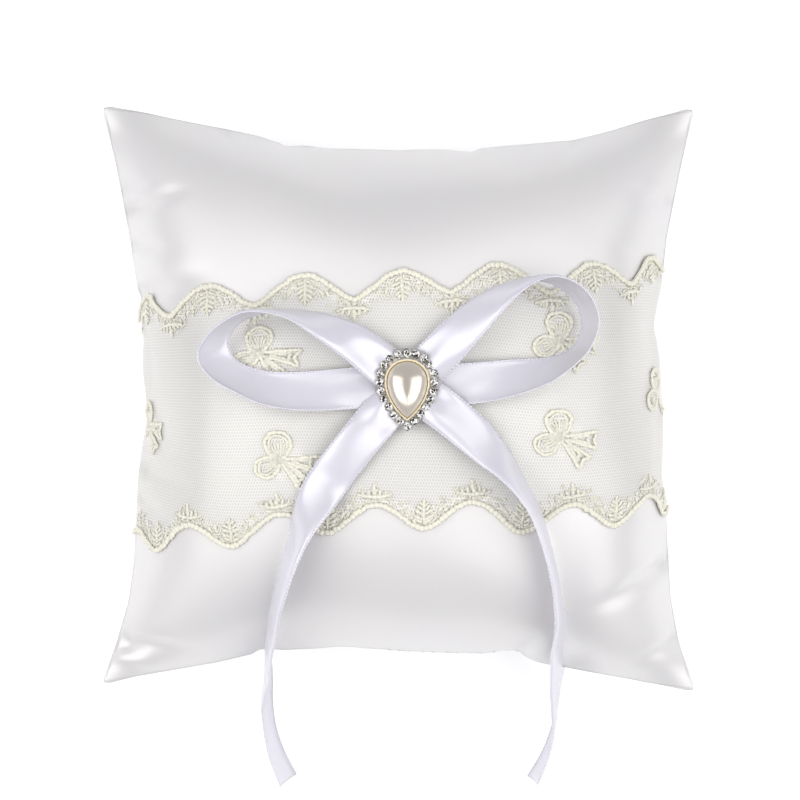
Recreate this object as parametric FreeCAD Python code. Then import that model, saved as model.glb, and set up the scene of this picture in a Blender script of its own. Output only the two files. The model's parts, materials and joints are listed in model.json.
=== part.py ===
import FreeCAD, Part
import math
import os

# Ring bearer pillow: a stuffed satin cushion with a band of lace, a ribbon bow and a pearl brooch.
# It lies on its back.  Millimetres, +Z up out of the front, +Y towards the pillow's top edge,
# +X to its right, and the origin at the middle of the flat patch that it rests on.

# ---- cushion ----
HALF_WIDTH = 100.0        # centre line to a corner, along X
HALF_HEIGHT = 98.5        # centre line to a corner, along Y
SIDE_PULL = 13.5          # how far the left and right seams draw in at mid length
END_PULL = 14.5           # the same for the top and bottom seams
SEAM_Z = 36.0             # height of the seam above the surface it lies on
FRONT_RISE = 43.0         # seam to the crown of the front
BACK_DROP = 38.0          # seam to the belly of the back, before it flattens on the surface
SEAM_STEEPNESS = 0.9      # share of a quarter turn in the edge profile: 1 would be upright at the seam
COVER = 0.5               # satin
FILL_GAP = 0.2
FILL_STEP = 0.6           # the back half of the filling is this much smaller in plan than the front half
GRID_STEPS = 12

# ---- closing stitches: hand stitches over the opening that the filling went in by ----
CLOSING_FROM = -4.0
CLOSING_TO = 40.0
CLOSING_STITCHES = 12
STITCH_RADIUS = 0.25
STITCH_LENGTH = 1.8

# ---- lace band, measured as heights above the satin ----
NET_LOW = 0.15
NET_HIGH = 0.45
EMBROIDERY_HIGH = 0.95
CORD_HIGH = 1.15
CORD_WIDTH = 1.6
SCALLOP_PITCH = 31.0
SCALLOP_DEPTH = 8.0
SCALLOPS_EACH_SIDE = 3
LACE_SLOPE = 0.05         # the band lies slightly aslant, higher at the right
UPPER_PHASE = 1.0         # X of the middle scallop of the upper edge
UPPER_PEAK = 40.4
LOWER_PHASE = 8.4
LOWER_PEAK = -43.7
FAN_INSET = 5.2
FAN_RADIUS = 3.0
CROWN_INSET = 5.6
CROWN_RADIUS = 1.9
BOW_MOTIFS = [(-46.0, 14.5), (-39.0, -20.0), (53.0, -13.0), (52.0, 19.0), (3.5, -1.0), (-79.0, -9.0)]
MOTIF_LOOPS = [(0.5, 6.0, 95.0), (-5.5, -3.5, 215.0)]
MOTIF_TAILS = [(12.0, -8.0), (9.5, -48.0)]
MOTIF_LOOP_LONG = 5.2
MOTIF_LOOP_WIDE = 3.2
MOTIF_TAIL_WIDTH = 3.0
MOTIF_KNOT_RADIUS = 1.9

# ---- ribbon: one length, tied once, and kept as two loops and two tails ----
RIBBON_WIDTH = 13.0
RIBBON_THICKNESS = 0.35
RIBBON_CLEAR = 1.4        # middle of the ribbon above the satin, so it lies on the lace
LAYER_STEP = 0.5          # where ribbon crosses ribbon
BOW_CENTRE = (2.8, 2.5)

# Each station is X, Y and how far the ribbon has turned out of flat, in degrees.
LEFT_LOOP = [
    (2.8, 4.0, 0), (-6.0, 11.5, 10), (-13.0, 17.0, 24), (-20.5, 21.5, 42), (-28.0, 25.0, 60),
    (-35.0, 27.3, 77), (-42.5, 28.0, 89), (-49.0, 27.0, 98), (-54.5, 24.0, 108), (-60.0, 18.8, 122),
    (-62.5, 13.3, 130), (-60.0, 8.5, 132), (-53.5, 4.8, 136), (-43.5, 2.3, 144), (-34.5, 1.7, 156),
    (-25.5, 2.1, 165), (-17.0, 2.8, 174), (-8.0, 3.4, 180), (0.0, 3.7, 180),
]
RIGHT_LOOP = [
    (2.8, 4.0, 0), (12.5, 13.5, -12), (18.5, 20.0, -22), (25.0, 26.5, -36), (32.5, 33.0, -55),
    (39.0, 37.0, -73), (45.0, 38.8, -88), (51.0, 38.5, -100), (57.0, 35.5, -107), (61.0, 31.0, -110),
    (62.7, 25.5, -113), (62.0, 20.3, -111), (59.5, 15.5, -109), (54.5, 11.5, -114), (48.5, 8.6, -127),
    (42.0, 7.0, -141), (36.0, 6.0, -154), (29.5, 5.1, -166), (22.0, 4.5, -176), (11.0, 4.0, -180),
    (0.0, 3.7, -180),
]
LEFT_TAIL = [
    (2.8, 4.0, 0), (-6.5, -6.5, 10), (-11.0, -12.0, 16), (-16.0, -18.3, 19), (-21.0, -24.8, 24),
    (-25.7, -31.3, 32), (-29.7, -38.0, 44), (-33.0, -45.5, 59), (-36.5, -55.0, 68), (-40.0, -67.0, 75),
    (-42.5, -78.0, 80),
]
RIGHT_TAIL = [
    (2.8, 4.0, 0), (12.5, -2.5, -5), (22.5, -10.3, -15), (30.0, -17.3, -35), (35.5, -23.0, -54),
    (40.5, -29.5, -66), (44.5, -36.5, -73), (47.5, -44.5, -76), (50.0, -53.5, -78), (52.0, -63.0, -78),
    (53.3, -74.0, -76),
]
# Past the pillow's edge the tails fall to the surface: X, Y, Z and turn.
LEFT_FALL = [
    (-44.2, -87.0, 47.5, 84), (-45.3, -95.0, 30.0, 90), (-46.0, -101.5, 17.5, 96),
    (-46.2, -109.0, 9.6, 101), (-45.3, -117.5, 6.9, 106), (-42.8, -126.0, 6.4, 111), (-39.0, -134.5, 6.1, 116),
]
RIGHT_FALL = [
    (54.3, -84.0, 50.5, -75), (54.9, -93.0, 33.5, -77), (55.3, -100.5, 18.5, -80),
    (55.0, -108.5, 9.8, -84), (54.2, -117.0, 7.0, -89), (51.5, -126.0, 6.8, -97), (47.3, -134.5, 6.6, -104),
]

# ---- brooch ----
BROOCH_WIDTH = 21.2
BROOCH_HEIGHT = 27.0
PLATE_THICKNESS = 0.8
PLATE_Z = 82.3
GLUE_RADIUS = 4.0
GLUE_THICKNESS = 0.5
TACK_STITCHES = 4
TACK_RADIUS = 0.18
TACK_LENGTH = 3.0
STONES = 22
STONE_PITCH_WIDTH = 17.8
STONE_PITCH_HEIGHT = 23.6
CUP_RADIUS = 1.38
CUP_HEIGHT = 0.9
STONE_RADIUS = 1.15
STONE_FACETS = 8
CLAWS = 4
CLAW_RADIUS = 0.24
CLAW_TIP = 0.12
CLAW_STANDS = 0.45
RIM_WIDTH = 14.4
RIM_HEIGHT = 19.8
RIM_WALL = 0.5
RIM_RISE = 1.7
PEARL_FIT = 0.1
PEARL_RISE = 4.9
PEARL_SLICES = 8
TEARDROP_POINT = 0.7      # 0 would be an ellipse, 1 a sharp drop
TEARDROP_SPREAD = 0.822   # widest ordinate of the teardrop formula at that point value

os.makedirs("parts", exist_ok=True)


def write(name, shape):
    shape.exportStep("parts/" + name + ".step")
    print(name, "solids", len(shape.Solids), "volume", round(shape.Volume, 2), "valid", shape.isValid())


# ---------------------------------------------------------------- cushion

def edge_profile(step):
    return math.sin(SEAM_STEEPNESS * step * math.pi / 2) / math.sin(SEAM_STEEPNESS * math.pi / 2)


def cushion_point(step_x, step_y, rise, lift):
    u = edge_profile(step_x)
    v = edge_profile(step_y)
    x = u * (HALF_WIDTH + lift - SIDE_PULL * (1 - v * v) ** 1.5)
    y = v * (HALF_HEIGHT + lift - END_PULL * (1 - u * u) ** 1.5)
    height = rise * (1 + lift / abs(rise))
    z = SEAM_Z + height * math.cos(step_x * math.pi / 2) * math.cos(step_y * math.pi / 2)
    return FreeCAD.Vector(x, y, z if abs(step_x) < 1 and abs(step_y) < 1 else SEAM_Z)


def half_cushion(rise, lift):
    """The closed space between the seam plane and a dome over (or under) it."""
    steps = [-1 + 2 * i / GRID_STEPS for i in range(GRID_STEPS + 1)]
    surface = Part.BSplineSurface()
    surface.interpolate([[cushion_point(s, t, rise, lift) for t in steps] for s in steps])
    dome = surface.toShape()
    base = Part.Face(Part.Wire(Part.__sortEdges__(dome.Edges)))
    solid = Part.Solid(Part.Shell([dome, base]))
    if solid.Volume < 0:
        solid.reverse()
    return solid


def flattened(solid, floor):
    """Cut level where the back lies on the surface."""
    below = Part.makeBox(300, 300, 50, FreeCAD.Vector(-150, -150, floor - 50))
    return solid.cut(below)


def front_cover():
    return half_cushion(FRONT_RISE, 0).cut(half_cushion(FRONT_RISE, -COVER))


def back_cover():
    outer = flattened(half_cushion(-BACK_DROP, 0), 0)
    inner = flattened(half_cushion(-BACK_DROP, -COVER), COVER)
    return outer.cut(inner)


def fibre_filling():
    inset = COVER + FILL_GAP
    front = half_cushion(FRONT_RISE, -inset)
    back = flattened(half_cushion(-BACK_DROP, -inset - FILL_STEP), inset)
    return front.fuse(back)


def closing_stitches():
    stitches = []
    for i in range(CLOSING_STITCHES):
        x = CLOSING_FROM + (CLOSING_TO - CLOSING_FROM) * i / (CLOSING_STITCHES - 1)
        u = x / HALF_WIDTH
        y = -(HALF_HEIGHT - END_PULL * (1 - u * u) ** 1.5) - STITCH_RADIUS - 0.05
        foot = FreeCAD.Vector(x, y, SEAM_Z - STITCH_LENGTH / 2)
        stitches.append(Part.makeCylinder(STITCH_RADIUS, STITCH_LENGTH, foot))
    return Part.makeCompound(stitches)


def cover_height(x, y):
    """Height of the satin under a point of the front, 0 outside the cushion."""
    u = v = 0.0
    for _ in range(40):
        u = max(-1.0, min(1.0, x / (HALF_WIDTH - SIDE_PULL * (1 - v * v) ** 1.5)))
        v = max(-1.0, min(1.0, y / (HALF_HEIGHT - END_PULL * (1 - u * u) ** 1.5)))
    if abs(u) >= 1 or abs(v) >= 1:
        return 0.0
    sine = math.sin(SEAM_STEEPNESS * math.pi / 2)
    along = math.cos(math.asin(u * sine) / SEAM_STEEPNESS)
    across = math.cos(math.asin(v * sine) / SEAM_STEEPNESS)
    return SEAM_Z + FRONT_RISE * along * across


# ---------------------------------------------------------------- lace

def scallop_edge(phase, peak, depth):
    """A row of arcs along one edge of the lace; depth is negative on the lower edge."""
    arcs = []
    for k in range(-SCALLOPS_EACH_SIDE, SCALLOPS_EACH_SIDE + 1):
        points = []
        for half_pitches, drop in ((-1, depth), (0, 0), (1, depth)):
            x = phase + SCALLOP_PITCH * (k + half_pitches / 2)
            points.append(FreeCAD.Vector(x, peak + LACE_SLOPE * x - drop, 0))
        arcs.append(Part.Arc(*points).toShape())
    return arcs


def outline(first, second):
    """A closed face between two rows of arcs."""
    edges = list(first) + list(second)
    for end in (0, -1):
        a = min(first[end].Vertexes, key=lambda p: p.X if end == 0 else -p.X).Point
        b = min(second[end].Vertexes, key=lambda p: p.X if end == 0 else -p.X).Point
        edges.append(Part.makeLine(a, b))
    return Part.Face(Part.Wire(Part.__sortEdges__(edges)))


def upper_edge(inset):
    return scallop_edge(UPPER_PHASE, UPPER_PEAK - inset, SCALLOP_DEPTH)


def lower_edge(inset):
    return scallop_edge(LOWER_PHASE, LOWER_PEAK + inset, -SCALLOP_DEPTH)


def layer_over_satin(low, high):
    return half_cushion(FRONT_RISE, high).cut(half_cushion(FRONT_RISE, low))


def upright(face):
    return face.extrude(FreeCAD.Vector(0, 0, SEAM_Z + FRONT_RISE + 10))


def disc(x, y, radius):
    return Part.Face(Part.Wire(Part.makeCircle(radius, FreeCAD.Vector(x, y, 0))))


def fan_embroidery(layer):
    spots = []
    rows = ((UPPER_PHASE, UPPER_PEAK, 1), (LOWER_PHASE, LOWER_PEAK, -1))
    for phase, peak, side in rows:
        for k in range(-SCALLOPS_EACH_SIDE + 1, SCALLOPS_EACH_SIDE):
            x = phase + SCALLOP_PITCH * k
            y = peak + LACE_SLOPE * x
            spots.append(disc(x, y - side * FAN_INSET, FAN_RADIUS))
            x += SCALLOP_PITCH / 2
            y = peak + LACE_SLOPE * x - side * SCALLOP_DEPTH
            if abs(x) < HALF_WIDTH - 2 * SIDE_PULL:
                spots.append(disc(x, y - side * CROWN_INSET, CROWN_RADIUS))
    return Part.makeCompound([layer.common(upright(spot)) for spot in spots])


def bow_motif(x, y):
    knot = disc(x, y, MOTIF_KNOT_RADIUS)
    pieces = []
    for dx, dy, turn in MOTIF_LOOPS:
        oval = Part.Face(Part.Wire(Part.Ellipse(FreeCAD.Vector(0, 0, 0), MOTIF_LOOP_LONG,
                                                MOTIF_LOOP_WIDE).toShape()))
        oval.rotate(FreeCAD.Vector(0, 0, 0), FreeCAD.Vector(0, 0, 1), turn)
        oval.translate(FreeCAD.Vector(x + dx, y + dy, 0))
        pieces.append(oval)
    for length, turn in MOTIF_TAILS:
        tail = Part.makePlane(length, MOTIF_TAIL_WIDTH, FreeCAD.Vector(0, -MOTIF_TAIL_WIDTH / 2, 0))
        tail.rotate(FreeCAD.Vector(0, 0, 0), FreeCAD.Vector(0, 0, 1), turn)
        tail.translate(FreeCAD.Vector(x, y, 0))
        pieces.append(tail)
    solid = upright(knot)
    for piece in pieces:
        solid = solid.fuse(upright(piece))
    return solid


def bow_embroidery(layer):
    return Part.makeCompound([layer.common(bow_motif(x, y)) for x, y in BOW_MOTIFS])


# ---------------------------------------------------------------- ribbon

def heading(stations, i):
    before = stations[max(i - 1, 0)]
    after = stations[min(i + 1, len(stations) - 1)]
    return math.atan2(after[1] - before[1], after[0] - before[0])


def ribbon_across(angle, turn):
    """Unit direction across the ribbon: level and to its left when flat, rising as it turns."""
    level = math.cos(math.radians(turn))
    return FreeCAD.Vector(-math.sin(angle) * level, math.cos(angle) * level, math.sin(math.radians(turn)))


def resting_height(x, y, across):
    """Lowest middle height that keeps both edges of the ribbon above the lace."""
    half = RIBBON_WIDTH / 2
    reach = []
    for side in (-half, 0, half):
        reach.append(cover_height(x + side * across.x, y + side * across.y) - side * across.z)
    return max(reach) + RIBBON_CLEAR


def ribbon_section(middle, across, angle):
    along = FreeCAD.Vector(math.cos(angle), math.sin(angle), 0)
    face_normal = across.cross(along)
    face_normal.normalize()
    a = across * (RIBBON_WIDTH / 2)
    n = face_normal * (RIBBON_THICKNESS / 2)
    corners = [middle - a - n, middle + a - n, middle + a + n, middle - a + n]
    return Part.makePolygon(corners + corners[:1])


def ribbon(stations, first_layer, last_layer, fall=()):
    """A strip through its stations.  It starts first_layer crossings up and ends last_layer up."""
    route = list(stations) + [(x, y, turn) for x, y, z, turn in fall]
    sections = []
    for i, (x, y, turn) in enumerate(route):
        angle = heading(route, i)
        across = ribbon_across(angle, turn)
        if i < len(stations):
            z = resting_height(x, y, across)
            z += LAYER_STEP * first_layer * max(0, 1 - i / 3)
            z += LAYER_STEP * last_layer * max(0, 1 - (len(route) - 1 - i) / 3)
        else:
            z = fall[i - len(stations)][2]
        sections.append(ribbon_section(FreeCAD.Vector(x, y, z), across, angle))
    return Part.makeLoft(sections, True, True)


# ---------------------------------------------------------------- brooch

def teardrop_point(width, height, t, z):
    """Point down.  t runs once round from the tip."""
    x = width / 2 / TEARDROP_SPREAD * math.sin(t) * abs(math.sin(t / 2)) ** TEARDROP_POINT
    y = -height / 2 * math.cos(t)
    return FreeCAD.Vector(BOW_CENTRE[0] + x, BOW_CENTRE[1] + y, z)


def teardrop_wire(width, height, z):
    points = [teardrop_point(width, height, 2 * math.pi * i / 36, z) for i in range(36)]
    curve = Part.BSplineCurve()
    curve.interpolate(points, PeriodicFlag=True)
    return Part.Wire(curve.toShape())


def teardrop_plate(width, height, z, thickness):
    return Part.Face(teardrop_wire(width, height, z)).extrude(FreeCAD.Vector(0, 0, thickness))


def brooch_plate():
    return teardrop_plate(BROOCH_WIDTH, BROOCH_HEIGHT, PLATE_Z, PLATE_THICKNESS)


def pearl_rim():
    z = PLATE_Z + PLATE_THICKNESS
    outer = teardrop_plate(RIM_WIDTH, RIM_HEIGHT, z, RIM_RISE)
    inner = teardrop_plate(RIM_WIDTH - 2 * RIM_WALL, RIM_HEIGHT - 2 * RIM_WALL, z, RIM_RISE)
    return outer.cut(inner)


def pearl_cabochon():
    width = RIM_WIDTH - 2 * RIM_WALL - 2 * PEARL_FIT
    height = RIM_HEIGHT - 2 * RIM_WALL - 2 * PEARL_FIT
    z = PLATE_Z + PLATE_THICKNESS + 0.05
    wires = []
    for i in range(PEARL_SLICES):
        tilt = math.radians(84) * i / (PEARL_SLICES - 1)
        shrink = math.cos(tilt)
        wires.append(teardrop_wire(width * shrink, height * shrink, z + PEARL_RISE * math.sin(tilt)))
    return Part.makeLoft(wires, True)


def stone_places():
    """Equal steps along the teardrop that the stones' middles lie on, one stone at the tip."""
    fine = 2000
    points = [teardrop_point(STONE_PITCH_WIDTH, STONE_PITCH_HEIGHT, 2 * math.pi * i / fine, 0)
              for i in range(fine + 1)]
    run = [0.0]
    for a, b in zip(points, points[1:]):
        run.append(run[-1] + a.distanceToPoint(b))
    places = []
    for k in range(STONES):
        goal = run[-1] * k / STONES
        index = next(i for i, length in enumerate(run) if length >= goal)
        places.append(points[index])
    print("stone pitch", round(run[-1] / STONES, 2))
    return places


def claw_places(place, z):
    places = []
    for i in range(CLAWS):
        turn = math.radians(45 + 360 * i / CLAWS)
        reach = STONE_RADIUS + CLAW_RADIUS / 2
        places.append(FreeCAD.Vector(place.x + reach * math.cos(turn), place.y + reach * math.sin(turn), z))
    return places


def stone_cup(place):
    z = PLATE_Z + PLATE_THICKNESS
    foot = FreeCAD.Vector(place.x, place.y, z)
    cup = Part.makeCylinder(CUP_RADIUS, CUP_HEIGHT, foot)
    pocket_foot = FreeCAD.Vector(place.x, place.y, z + 0.2)
    cup = cup.cut(Part.makeCone(STONE_RADIUS * 0.45, STONE_RADIUS + 0.08, CUP_HEIGHT - 0.2, pocket_foot))
    for claw in claw_places(place, z):
        cup = cup.fuse(Part.makeCone(CLAW_RADIUS, CLAW_TIP, CUP_HEIGHT + CLAW_STANDS, claw))
    return cup


def stone(place):
    """A small faceted glass stone: a pavilion below the girdle and a flat-topped crown above."""
    girdle = PLATE_Z + PLATE_THICKNESS + CUP_HEIGHT + 0.05
    levels = ((STONE_RADIUS * 0.35, girdle - 0.6), (STONE_RADIUS, girdle), (STONE_RADIUS * 0.6, girdle + 0.5))
    rings = []
    for radius, z in levels:
        corners = []
        for i in range(STONE_FACETS + 1):
            turn = 2 * math.pi * i / STONE_FACETS
            corners.append(FreeCAD.Vector(place.x + radius * math.cos(turn),
                                          place.y + radius * math.sin(turn), z))
        rings.append(Part.makePolygon(corners))
    whole = Part.makeLoft(rings, True, True)
    for claw in claw_places(place, PLATE_Z + PLATE_THICKNESS):
        whole = whole.cut(Part.makeCylinder(CLAW_RADIUS + 0.02, 2 * CUP_HEIGHT, claw))
    return whole


def glue_pad():
    foot = FreeCAD.Vector(BOW_CENTRE[0], BOW_CENTRE[1], PLATE_Z - GLUE_THICKNESS)
    return Part.makeCylinder(GLUE_RADIUS, GLUE_THICKNESS, foot)


def tack_stitches():
    """Short stitches round the glue, over the crossing of the ribbon."""
    stitches = []
    for i in range(TACK_STITCHES):
        turn = 2 * math.pi * (i + 0.5) / TACK_STITCHES
        reach = GLUE_RADIUS + 1.2
        middle = FreeCAD.Vector(BOW_CENTRE[0] + reach * math.cos(turn), BOW_CENTRE[1] + reach * math.sin(turn),
                                PLATE_Z - TACK_RADIUS - 0.05)
        along = FreeCAD.Vector(-math.sin(turn), math.cos(turn), 0)
        stitches.append(Part.makeCylinder(TACK_RADIUS, TACK_LENGTH, middle - along * (TACK_LENGTH / 2), along))
    return Part.makeCompound(stitches)


# ---------------------------------------------------------------- all pieces

write("front_cover", front_cover())
write("back_cover", back_cover())
write("fibre_filling", fibre_filling())
write("closing_stitches", closing_stitches())

net_layer = layer_over_satin(NET_LOW, NET_HIGH)
cord_layer = layer_over_satin(NET_HIGH, CORD_HIGH)
embroidery_layer = layer_over_satin(NET_HIGH, EMBROIDERY_HIGH)
write("lace_net", net_layer.common(upright(outline(upper_edge(0), lower_edge(0)))))
write("lace_edge_cord_upper", cord_layer.common(upright(outline(upper_edge(0), upper_edge(CORD_WIDTH)))))
write("lace_edge_cord_lower", cord_layer.common(upright(outline(lower_edge(0), lower_edge(CORD_WIDTH)))))
write("lace_fan_embroidery", fan_embroidery(embroidery_layer))
write("lace_bow_embroidery", bow_embroidery(embroidery_layer))

write("bow_left_loop", ribbon(LEFT_LOOP, 2, 0))
write("bow_right_loop", ribbon(RIGHT_LOOP, 1, 0))
write("bow_left_tail", ribbon(LEFT_TAIL, 1, 0, LEFT_FALL))
write("bow_right_tail", ribbon(RIGHT_TAIL, 2, 0, RIGHT_FALL))
write("bow_tack_stitches", tack_stitches())

places = stone_places()
write("brooch_plate", brooch_plate())
write("brooch_glue_pad", glue_pad())
write("brooch_stone_cups", Part.makeCompound([stone_cup(place) for place in places]))
write("brooch_rhinestones", Part.makeCompound([stone(place) for place in places]))
write("pearl_rim", pearl_rim())
write("pearl_cabochon", pearl_cabochon())
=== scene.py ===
# %% [markdown]
# # A ring bearer pillow
# The real object is a stuffed satin cushion about 20 cm square. A band of embroidered net lace lies across
# its front, a ribbon is tied over the lace, and a pearl brooch covers the crossing of the ribbon. This
# lesson makes the pieces in the order that a workshop would: sew and fill the cushion, lay the lace, tie
# the ribbon, set the brooch. Every piece starts from the CAD frame, so nothing has to be fitted afterwards.

# %% Load the frame
import json
import math

import bpy
import numpy as np
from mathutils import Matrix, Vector
from mathutils.bvhtree import BVHTree

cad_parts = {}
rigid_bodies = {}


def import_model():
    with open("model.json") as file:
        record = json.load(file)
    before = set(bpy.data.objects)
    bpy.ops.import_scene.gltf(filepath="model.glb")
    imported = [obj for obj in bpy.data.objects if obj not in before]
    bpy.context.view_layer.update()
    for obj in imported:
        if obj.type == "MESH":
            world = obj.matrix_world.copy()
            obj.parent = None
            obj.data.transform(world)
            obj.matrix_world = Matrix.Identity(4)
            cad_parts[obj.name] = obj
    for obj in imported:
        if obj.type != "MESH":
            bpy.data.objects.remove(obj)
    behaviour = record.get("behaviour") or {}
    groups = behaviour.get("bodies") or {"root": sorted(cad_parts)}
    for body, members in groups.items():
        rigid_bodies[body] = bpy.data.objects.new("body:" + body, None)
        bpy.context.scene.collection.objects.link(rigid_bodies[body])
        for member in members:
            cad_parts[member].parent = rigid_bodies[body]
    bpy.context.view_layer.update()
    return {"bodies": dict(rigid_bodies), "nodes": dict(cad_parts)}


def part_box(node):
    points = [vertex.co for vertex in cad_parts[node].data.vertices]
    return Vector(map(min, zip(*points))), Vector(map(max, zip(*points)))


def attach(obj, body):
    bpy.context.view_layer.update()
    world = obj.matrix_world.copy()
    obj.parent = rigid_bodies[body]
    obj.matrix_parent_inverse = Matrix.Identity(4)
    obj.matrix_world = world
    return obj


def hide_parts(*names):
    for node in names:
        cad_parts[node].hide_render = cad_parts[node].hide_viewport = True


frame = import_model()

BODY = next(iter(frame["bodies"]))
MM = 0.001
print("body:", BODY, " CAD nodes:", len(frame["nodes"]))

# %% [markdown]
# ## Helpers for meshes
# All shapes below are worked out in millimetres, because a maker measures in them, and turned to metres
# only when the mesh is made. Each cloth piece also keeps the place of every point on its flat pattern, so
# that a weave can follow the threads wherever the cloth bends.

# %% Make a piece from points
def in_scene(name, data):
    """A new object in the scene."""
    made = bpy.data.objects.new(name, data)
    bpy.context.scene.collection.objects.link(made)
    return made


def add_piece(name, points, faces, slot, pattern=None):
    """A smooth mesh from points in millimetres. pattern is where each point lies on the flat cloth."""
    mesh = bpy.data.meshes.new(name)
    faces = faces.tolist() if isinstance(faces, np.ndarray) else faces
    mesh.from_pydata((np.asarray(points, float) * MM).tolist(), [], faces)
    mesh.update()
    mesh.shade_smooth()
    if pattern is not None:
        flat = np.zeros((len(points), 3), np.float32)
        flat[:, :2] = pattern
        mesh.attributes.new("pattern", "FLOAT_VECTOR", "POINT").data.foreach_set("vector", flat.ravel())
    piece = in_scene(name, mesh)
    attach(piece, BODY)
    print(name, "faces:", len(mesh.polygons))
    return piece


# %% Join a grid of points with faces
def grid_faces(index):
    """Four-sided faces over a grid of point numbers, facing up when the grid runs along +X and then +Y."""
    return np.stack([index[:-1, :-1], index[1:, :-1], index[1:, 1:], index[:-1, 1:]], -1).reshape(-1, 4)


def sewn_pair(front, back):
    """Points and faces of two square grids joined along all four sides, and the grids' point numbers."""
    count = len(front)
    front_index = np.arange(count**2).reshape(count, count)
    back_index = front_index.copy()
    back_index[1:-1, 1:-1] = count**2 + np.arange((count - 2) ** 2).reshape(count - 2, count - 2)
    points = np.zeros((back_index.max() + 1, 3))
    points[back_index] = back
    points[front_index] = front
    faces = np.concatenate([grid_faces(front_index), grid_faces(back_index)[:, ::-1]])
    return points, faces, front_index, back_index


def ring_faces(rings, sides):
    """Faces round a row of rings, with a flat face at each end."""
    index = np.arange(rings * sides).reshape(rings, sides)
    caps = [index[0].tolist(), index[-1, ::-1].tolist()]
    return grid_faces(np.concatenate([index, index[:, :1]], 1)).tolist() + caps


def unit(vectors):
    return vectors / np.maximum(np.linalg.norm(vectors, axis=-1, keepdims=True), 1e-9)


def smoothed(values, passes):
    """A row of values after some passes of evening out. Its ends stay."""
    values = values.copy()
    for _ in range(passes):
        values[1:-1] = (values[:-2] + 2 * values[1:-1] + values[2:]) / 4
    return values


# %% [markdown]
# ## The cushion
# On the real object two square panels of satin are sewn together along all four sides and filled. The
# filling pushes the middles out, which draws the sides in and leaves pointed corners. A formula can give
# that outline, but not the soft puckers along the seam, so the two panels are sewn edge to edge here and
# blown up with Blender's cloth simulation. The simulation runs ten times larger than life, where its
# default stiffnesses suit the cloth.

# %% Cut and sew two panels
PANEL = 212.0                   # side of the cut square, inside the seam
CELLS = 64
SIM_UNIT = 100.0                # millimetres in one unit of the simulation
START_BULGE = 0.06

across = np.linspace(-1, 1, CELLS + 1)
u, v = np.meshgrid(across, across, indexing="ij")
start_height = START_BULGE * (1 - u**2) * (1 - v**2)
flat_front = np.stack([u * PANEL / 2 / SIM_UNIT, v * PANEL / 2 / SIM_UNIT, start_height], -1)
sewn, sewn_faces, front_index, back_index = sewn_pair(flat_front, flat_front * (1, 1, -1))
print("points in the sewn pair:", len(sewn))

# %% Fill the cushion
PRESSURE = 1.6
SETTLE_FRAMES = 52


def inflate(points, faces):
    """Blows up a closed cloth with no gravity and returns where its points settle."""
    mesh = bpy.data.meshes.new("sewn_panels")
    mesh.from_pydata(points.tolist(), [], faces.tolist())
    cloth = in_scene("sewn_panels", mesh)
    modifier = cloth.modifiers.new("filling", "CLOTH")
    settings = modifier.settings
    settings.quality = 6
    settings.mass = 0.3
    settings.tension_stiffness = settings.compression_stiffness = 40
    settings.shear_stiffness = 20
    settings.bending_stiffness = 0.5
    settings.air_damping = 8
    settings.use_pressure = True
    settings.uniform_pressure_force = PRESSURE
    settings.effector_weights.gravity = 0
    modifier.collision_settings.use_collision = False
    modifier.point_cache.frame_end = SETTLE_FRAMES
    for step in range(1, SETTLE_FRAMES + 1):
        bpy.context.scene.frame_set(step)
    settled = cloth.evaluated_get(bpy.context.evaluated_depsgraph_get()).data
    result = np.empty(len(points) * 3)
    settled.vertices.foreach_get("co", result)
    bpy.data.objects.remove(cloth)
    bpy.context.scene.frame_set(1)
    return result.reshape(-1, 3)


filled = inflate(sewn, sewn_faces) * SIM_UNIT
front, back = filled[front_index], filled[back_index]
print("filled cushion, mm:", np.ptp(filled, axis=0).round(1))

# %% [markdown]
# The simulation gives a symmetrical cushion. A hand-filled one isn't: each seam has its own line, and the
# bottom seam has a small step where the gap for the filling was closed by hand. So each simulated edge is
# moved onto the seam line that the object has, and the shift is spread over the panel between the four
# edges. A share of the small waves of the simulated seam stays, so that it doesn't look drawn with a ruler.

# %% Seam lines of this cushion
LEFT_SEAM = [(-101.2, -97.8), (-96.2, -84.0), (-91.8, -69.0), (-89.8, -55.0), (-88.4, -28.0), (-86.2, -1.0),
             (-87.2, 24.0), (-91.0, 53.0), (-96.2, 80.0), (-101.2, 99.5)]
RIGHT_SEAM = [(101.4, -100.3), (95.4, -83.0), (92.6, -68.0), (91.2, -48.0), (90.2, -18.0), (88.8, 10.0),
              (88.4, 28.0), (91.0, 54.0), (96.4, 80.0), (100.9, 98.9)]
BOTTOM_SEAM = [(-101.2, -97.8), (-88.9, -94.8), (-63.0, -90.2), (-45.0, -86.6), (-20.0, -84.6),
               (10.0, -86.4), (39.0, -87.1), (45.0, -89.8), (57.0, -91.6), (78.0, -95.6), (101.4, -100.3)]
TOP_SEAM = [(-101.2, 99.5), (-88.0, 97.4), (-72.6, 94.0), (-58.0, 91.0), (-44.0, 88.0), (-24.0, 84.8),
            (0.0, 83.9), (41.0, 85.8), (59.0, 87.4), (71.5, 90.6), (83.0, 94.2), (100.9, 98.9)]
SMOOTHING_PASSES = 60
RIPPLE_KEPT = 0.3               # share of the simulated seam's small waves that stays


def seam_shift(edge, seam, along):
    """How far each point of a simulated edge moves. along is the axis that the seam runs along."""
    line = smoothed(edge[:, :2], SMOOTHING_PASSES)
    seam = np.array(seam)
    goal = np.empty_like(line)
    goal[:, along] = np.interp(line[:, along], line[[0, -1], along], seam[[0, -1], along])
    goal[:, 1 - along] = np.interp(goal[:, along], seam[:, along], seam[:, 1 - along])
    return goal + RIPPLE_KEPT * (edge[:, :2] - line) - edge[:, :2]


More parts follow.
